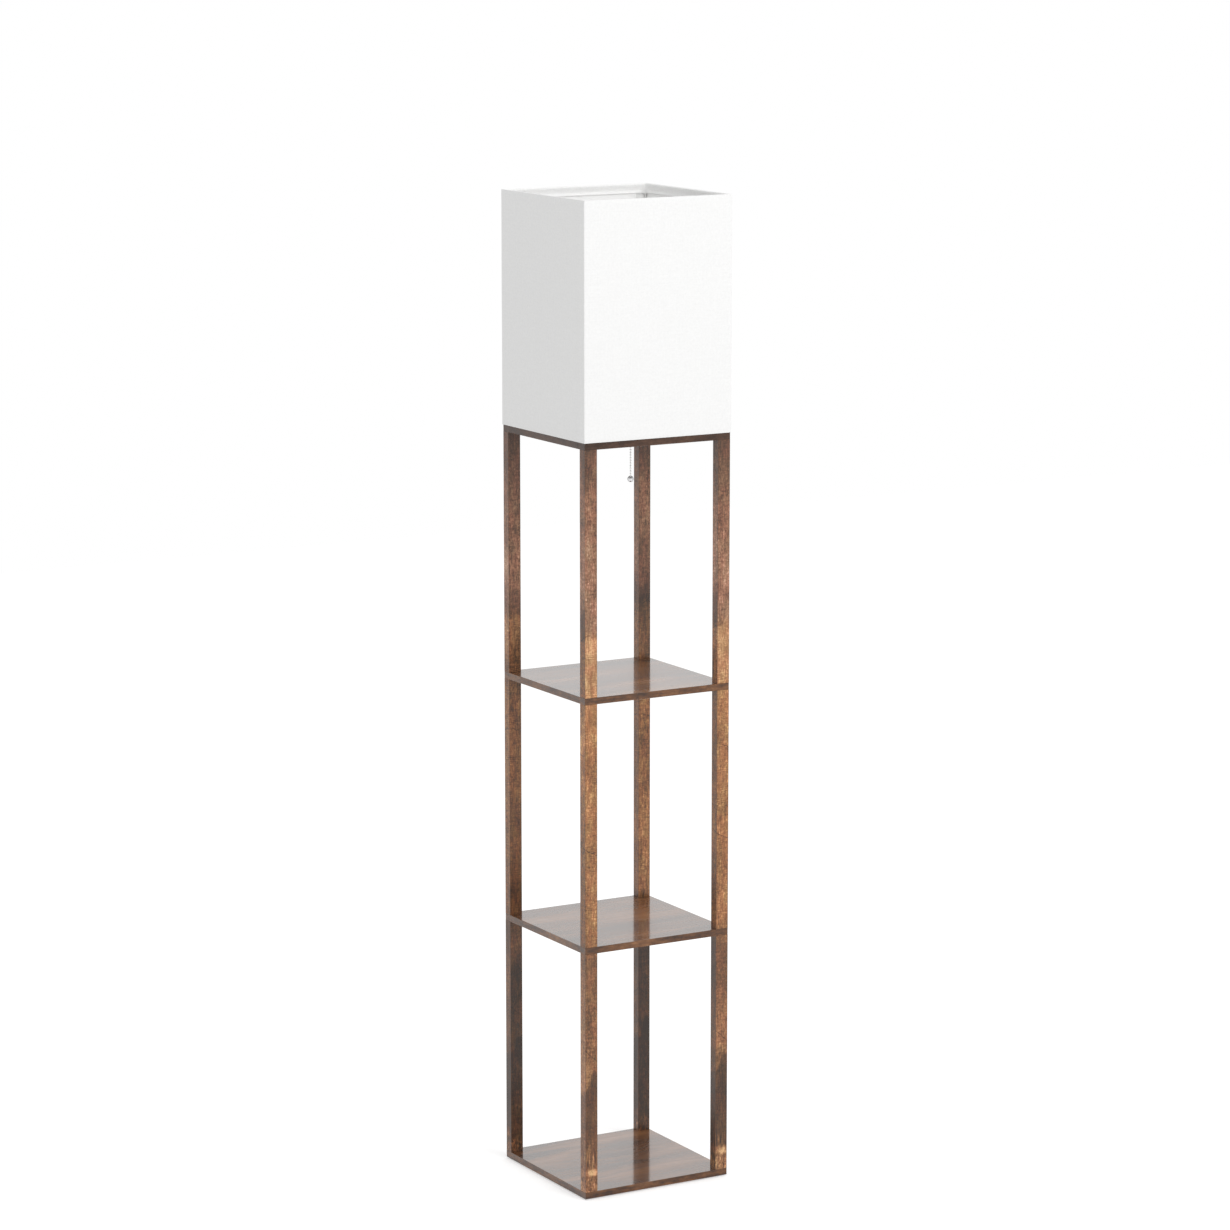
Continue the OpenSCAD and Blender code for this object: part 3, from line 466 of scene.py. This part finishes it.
cap_metal = metal("bulb_cap_metal", (0.68, 0.67, 0.65), 0.27, lines=(1, 1, 10), wear=0.30, scale=900, spots=0.3)
phenolic = moulded("black_phenolic", (0.022, 0.020, 0.019), 0.33, grain=600, coat=0.2)
card = moulded("liner_card", (0.30, 0.22, 0.14), 0.85, grain=900, depth=0.1 * MM, light=1.2)
nylon = moulded("switch_nylon", (0.72, 0.70, 0.64), 0.42, grain=600)
bulb_white = moulded("bulb_housing_white", (0.80, 0.80, 0.78), 0.36, grain=800, coat=0.15)
frosted = moulded("bulb_frosted", (0.86, 0.86, 0.83), 0.50, grain=1100, coat=0.05, depth=0.04 * MM, light=1.04,
                  glow=0.25)
aluminium = metal("led_board_aluminium", (0.72, 0.73, 0.74), 0.38, wear=0.25, scale=700, spots=0.4)

WEARS = {
    "foot_pads": felt_grey, "base_board": board_grain, "lower_shelf": board_grain, "upper_shelf": board_grain,
    "front_rail": dark_grain, "back_rail": dark_grain, "left_rail": dark_grain, "right_rail": dark_grain,
    "socket_bar": dark_grain, "frame_dowels": beech, "post_inserts": brass, "base_bolts": zinc,
    "shelf_studs": zinc, "top_bolts": zinc, "shade_top_ring": wire_white, "shade_bottom_ring": wire_white,
    "shade_uprights": wire_white, "socket_nipple": zinc, "nipple_washer": zinc, "nipple_nut": zinc,
    "cord_bushing": phenolic, "socket_cap": nickel, "socket_shell": nickel, "socket_liner": card,
    "socket_body": phenolic, "terminal_screws": brass, "switch_contacts": brass, "screw_shell": brass,
    "centre_contact": brass, "chain_guide": nickel, "switch_shaft": zinc, "return_spring": zinc,
    "switch_drum": nylon, "switch_rotor": nylon, "drum_beads": chain_metal, "inner_chain": chain_metal,
    "chain_lead": chain_metal, "chain_joint": chain_metal, "pull_chain": chain_metal, "pull_ball": chrome,
    "bulb_tip": brass, "bulb_cap": cap_metal, "bulb_housing": bulb_white, "led_board": aluminium,
    "bulb_diffuser": frosted,
}
POST_WOOD = {f"{tier}_post_{corner}": wood for tier in TIERS for corner, wood in POSTS.items()}

for node_name, material in {**WEARS, **POST_WOOD}.items():
    for material_slot in NODES[node_name].material_slots:
        material_slot.material = material


def ease_edges(node, width):
    """Takes the sharp arrises off a CAD node, as sanding and edge banding do."""
    weld = node.modifiers.new("join_faces", "WELD")
    weld.merge_threshold = 0.01 * MM
    merge = node.modifiers.new("merge_flat_faces", "DECIMATE")
    merge.decimate_type = "DISSOLVE"
    merge.angle_limit = 0.005
    bevel = node.modifiers.new("eased_edges", "BEVEL")
    bevel.width = width
    bevel.segments = 2
    bevel.limit_method = "ANGLE"
    bevel.angle_limit = math.radians(60)
    bevel.use_clamp_overlap = False
    bevel.loop_slide = False
    even = node.modifiers.new("flat_faces", "WEIGHTED_NORMAL")
    even.keep_sharp = True
    even.weight = 100


# How wide each node's eased edges are
EASED = {"base_board": 0.2 * MM, "lower_shelf": 0.5 * MM, "upper_shelf": 0.5 * MM,
         "front_rail": 0.4 * MM, "back_rail": 0.4 * MM, "left_rail": 0.4 * MM, "right_rail": 0.4 * MM,
         **{name: 0.2 * MM for name in POST_WOOD}}
for node_name, width in EASED.items():
    ease_edges(NODES[node_name], width)


# Shade
PANEL_T = 0.8 * MM
CORNER_R = 1.6 * MM
SEAM_T = 0.45 * MM
SEAM_X = SHADE_HALF - 20 * MM
SEAM_FADE = 16 * MM
# The hem's cloth, and the fold at its free edge
HEM_T = 0.6 * MM
HEM_H = 16.6 * MM
FOLD_T = 1.5 * MM
FOLD_H = 2.4 * MM
# The hem's roll over the wire ring: how far in it reaches, its turn, and how far from the edge it is widest
ROLL_IN = 4.1 * MM
ROLL_R = 1.5 * MM
ROLL_WIDEST = 2.4 * MM
# How far in from the wall's square corner, along the diagonal, the hem passes in front of an upright
HEM_CLEAR = 7.1 * MM
# Room for the glue between hem and wall, and between hem and rim
GLUE_T = 0.02 * MM
RIM_GAP = 0.05 * MM
# Rows up the wall, steps round each corner and each turned edge, and places along each side from -1 to 1
LEVELS = 44
PER_CORNER = 6
PER_TURN = 6
ALONG = [-1.0, -0.985, -0.95, -0.85] + [-0.75 + 0.125 * i for i in range(13)] + [0.85, 0.95, 0.985]
SEAM_PLACES = [-(SEAM_X + d * MM) / (SHADE_HALF - CORNER_R) for d in (-0.12, 0.12, 1.0, 8.0)]
# How uneven the stretched wall is, and its waves across, deep and up, in radians per metre
UNEVEN = 0.12 * MM
WAVES = Vector((19, 23, 31))
# A point belongs to a wall where it lies no deeper than this below the wall's face
WALL_BAND = 1.06 * MM


def square_points(half, radius, extra=()):
    """Points counterclockwise round a square with rounded corners, from the right end of the back side.
    extra are more places along the back side, from -1 to 1."""
    points = []
    for side in range(4):
        turn = math.radians(90 * (side + 1))
        out = Vector((math.cos(turn), math.sin(turn)))
        ahead = Vector((-out.y, out.x))
        straight = half - radius
        places = sorted(ALONG + list(extra)) if side == 0 else ALONG
        points += [out * half + ahead * (straight * t) for t in places]
        centre = (out + ahead) * straight
        for i in range(PER_CORNER):
            a = 0.5 * math.pi * i / PER_CORNER
            points.append(centre + (out * math.cos(a) + ahead * math.sin(a)) * radius)
    return points


def skin(name, rows, extra=(), lift=None):
    """A closed skin through rounded squares, each row (half width, corner radius, height)."""
    loops = []
    for half, radius, height in rows:
        loop = square_points(half, radius, extra)
        loops.append([(*(p + lift(p, height)), height) if lift else (p.x, p.y, height) for p in loop])
    n, m = len(loops[0]), len(loops)
    vertices = [loops[j][i] for i in range(n) for j in range(m)]
    faces = [(i * m + j, i * m + (j + 1) % m, ((i + 1) % n) * m + (j + 1) % m, ((i + 1) % n) * m + j)
             for i in range(n) for j in range(m)]
    mesh = bpy.data.meshes.new(name)
    mesh.from_pydata(vertices, [], faces)
    mesh.update()
    for polygon in mesh.polygons:
        polygon.use_smooth = True
    piece = bpy.data.objects.new(name, mesh)
    bpy.context.scene.collection.objects.link(piece)
    return piece


def arc(centre, radius, start, end, steps):
    """Points (inset, height) of an arc, angles in degrees from the inset direction."""
    turns = [math.radians(start + (end - start) * i / steps) for i in range(steps + 1)]
    return [(centre[0] + radius * math.cos(a), centre[1] + radius * math.sin(a)) for a in turns]


def wall_rows():
    """The laminated linen wall, down its outside and up its inside, with softly turned edges."""
    low, high, r = SHADE_BOTTOM, SHADE_TOP, 0.5 * PANEL_T
    down = [(0.0, high - r - (high - low - 2 * r) * i / LEVELS) for i in range(LEVELS + 1)]
    under = arc((r, low + r), r, 180, 360, PER_TURN)[1:-1]
    up = [(PANEL_T, z) for _, z in reversed(down)]
    over = arc((r, high - r), r, 0, 180, PER_TURN)[1:-1]
    return [(SHADE_HALF - inset, CORNER_R - inset, z) for inset, z in down + under + up + over]


def facing(place):
    """-1 or 1 on one of two facing walls, 0 between them."""
    return math.copysign(1, place) if abs(place) > SHADE_HALF - WALL_BAND else 0


def wall_lift(point, height):
    """A stretched wall is never quite flat, and at the seam the outer edge of the linen stands proud."""
    along = point.x * WAVES.x + point.y * WAVES.y
    lift = UNEVEN * math.sin(along) * math.sin(height * WAVES.z + along)
    if point.y > SHADE_HALF - 2 * MM and SEAM_X < point.x < SEAM_X + SEAM_FADE:
        lift += SEAM_T * (1 - (point.x - SEAM_X) / SEAM_FADE)
    return Vector((facing(point.x), facing(point.y))) * lift


shade_wall = skin("shade_wall", wall_rows(), SEAM_PLACES, wall_lift)


def hem_rows(edge, way):
    """The hem cloth: turned over the wire ring at the edge, then drawn down to a glued band whose free edge is
    folded. At the corners its inner side passes in front of the uprights."""
    glued = PANEL_T + GLUE_T
    drawn = [(glued + 0.5 * FOLD_T, HEM_H), (glued + FOLD_T, HEM_H - 0.3 * MM),
             (glued + FOLD_T, HEM_H - FOLD_H), (glued + 1.2 * HEM_T, HEM_H - FOLD_H - 0.8 * MM),
             (glued + 1.3 * HEM_T, HEM_H - 7 * MM), (ROLL_IN - 0.6 * MM, ROLL_WIDEST + 2.2 * MM),
             (ROLL_IN - 0.15 * MM, ROLL_WIDEST + 0.9 * MM), (ROLL_IN, ROLL_WIDEST)]
    rolled = arc((ROLL_IN - ROLL_R, ROLL_R), ROLL_R, 0, -90, PER_TURN)
    behind = [(glued + HEM_T, 0.0), (glued + 0.1 * MM, 0.0), (glued, 0.25 * MM), (glued, ROLL_WIDEST),
              (glued, 0.5 * HEM_H), (glued, HEM_H - 0.3 * MM)]
    rows = [(inset, (HEM_CLEAR - math.sqrt(2) * inset) / (math.sqrt(2) - 1), z) for inset, z in drawn]
    rows += [(inset, 0.6 * MM + 0.38 * inset, z) for inset, z in rolled + behind]
    rows = [(SHADE_HALF - inset, radius, edge + way * z) for inset, radius, z in rows]
    return rows if way < 0 else rows[::-1]


top_hem = skin("shade_hem_top", hem_rows(SHADE_TOP - RIM_GAP, -1))
bottom_hem = skin("shade_hem_bottom", hem_rows(SHADE_BOTTOM + RIM_GAP, 1))
# The hem is the wall's own linen, painted lighter here: painted light, standing in for the light that comes
# through the shade onto its inside. The backing's white is its own colour, pushed a little lighter as painted
# light for the same reason.
wall_cloth = linen("shade_linen", (0.885, 0.885, 0.880), thread=0.6 * MM, lining=(0.975, 0.975, 0.970))
hem_cloth_painted_light = linen("shade_hem_linen_painted_light", (0.968, 0.968, 0.962), thread=0.5 * MM)
for piece, cloth, slot, node_name in ((shade_wall, wall_cloth, "shade_linen", "shade_panel"),
                                      (top_hem, hem_cloth_painted_light, "shade_hem", "shade_top_hem"),
                                      (bottom_hem, hem_cloth_painted_light, "shade_hem", "shade_bottom_hem")):
    piece.data.materials.append(cloth)
    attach(piece, "shade")
    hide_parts(node_name)


# Floor, light, camera
# How far the floor reaches, its grey, and what it adds to that where the camera or a gloss sees it
FLOOR_REACH = 6.0
FLOOR_GREY = (0.80, 0.80, 0.80, 1)
FLOOR_GLOW = 0.40
WHITE = (1, 1, 1, 1)


def plain_floor():
    """A pale floor that keeps the object's shadow and is clear from below."""
    corners = [(x * FLOOR_REACH, y * FLOOR_REACH, 0) for x, y in ((-1, -1), (1, -1), (1, 1), (-1, 1))]
    mesh = bpy.data.meshes.new("floor")
    mesh.from_pydata(corners, [], [(0, 1, 2, 3)])
    floor = bpy.data.objects.new("floor", mesh)
    bpy.context.scene.collection.objects.link(floor)
    g = Graph("floor_pale")
    seen = g.math("MAXIMUM", g.put("ShaderNodeLightPath", out="Is Camera Ray"),
                  g.put("ShaderNodeLightPath", out="Is Glossy Ray"))
    matt = g.put("ShaderNodeBsdfDiffuse", {"Color": FLOOR_GREY})
    glow = g.put("ShaderNodeEmission", {"Color": WHITE, "Strength": g.mul(seen, FLOOR_GLOW)})
    above = g.put("ShaderNodeAddShader", {0: matt, 1: glow})
    from_below = g.put("ShaderNodeNewGeometry", out="Backfacing")
    surface = g.put("ShaderNodeMixShader", {0: from_below, 1: above, 2: g.put("ShaderNodeBsdfTransparent")})
    g.tree.links.new(surface, g.out.inputs[0])
    mesh.materials.append(g.material)


def world_light(soft):
    """White where the camera, a gloss or clear glass looks, and soft as the light that falls on the object."""
    world = bpy.data.worlds.new("studio")
    bpy.context.scene.world = world
    world.use_nodes = True
    tree = world.node_tree
    tree.nodes.clear()
    out = tree.nodes.new("ShaderNodeOutputWorld")
    sky = tree.nodes.new("ShaderNodeBackground")
    sky.inputs["Color"].default_value = WHITE
    path = tree.nodes.new("ShaderNodeLightPath")
    seen = tree.nodes.new("ShaderNodeMath")
    seen.operation = "MAXIMUM"
    clear = tree.nodes.new("ShaderNodeMath")
    clear.operation = "MAXIMUM"
    level = tree.nodes.new("ShaderNodeMapRange")
    level.inputs["To Min"].default_value = soft
    level.inputs["To Max"].default_value = 1.0
    tree.links.new(path.outputs["Is Camera Ray"], seen.inputs[0])
    tree.links.new(path.outputs["Is Glossy Ray"], seen.inputs[1])
    tree.links.new(seen.outputs[0], clear.inputs[0])
    tree.links.new(path.outputs["Is Transmission Ray"], clear.inputs[1])
    tree.links.new(clear.outputs[0], level.inputs["Value"])
    tree.links.new(level.outputs["Result"], sky.inputs["Strength"])
    tree.links.new(sky.outputs[0], out.inputs[0])


def soft_lamp(name, place, aim, size, power):
    """A square lamp that no gloss shows."""
    data = bpy.data.lights.new(name, "AREA")
    data.shape = "SQUARE"
    data.size = size
    data.energy = power
    lamp = bpy.data.objects.new(name, data)
    bpy.context.scene.collection.objects.link(lamp)
    lamp.location = place
    lamp.rotation_euler = (Vector(aim) - Vector(place)).to_track_quat("-Z", "Y").to_euler()
    lamp.visible_glossy = False


plain_floor()
world_light(soft=0.80)
soft_lamp("key", place=(0.9, -4.5, 3.7), aim=(0, 0, 1.0), size=3.0, power=97)

# The camera, solved from the straight edges of the lamp
LENS_MM = 124.187
SENSOR_MM = 36.0
EYE = Vector((-3.35766, -5.81786, 2.12297))
AIM = Vector((-0.00128, 0.00074, 0.92234))
camera_data = bpy.data.cameras.new("camera")
camera_data.lens = LENS_MM
camera_data.sensor_width = SENSOR_MM
camera_data.sensor_fit = "HORIZONTAL"
camera = bpy.data.objects.new("camera", camera_data)
bpy.context.scene.collection.objects.link(camera)
camera.location = EYE
camera.rotation_euler = (AIM - EYE).to_track_quat("-Z", "Y").to_euler()
bpy.context.scene.camera = camera
bpy.context.scene.view_settings.view_transform = "Standard"
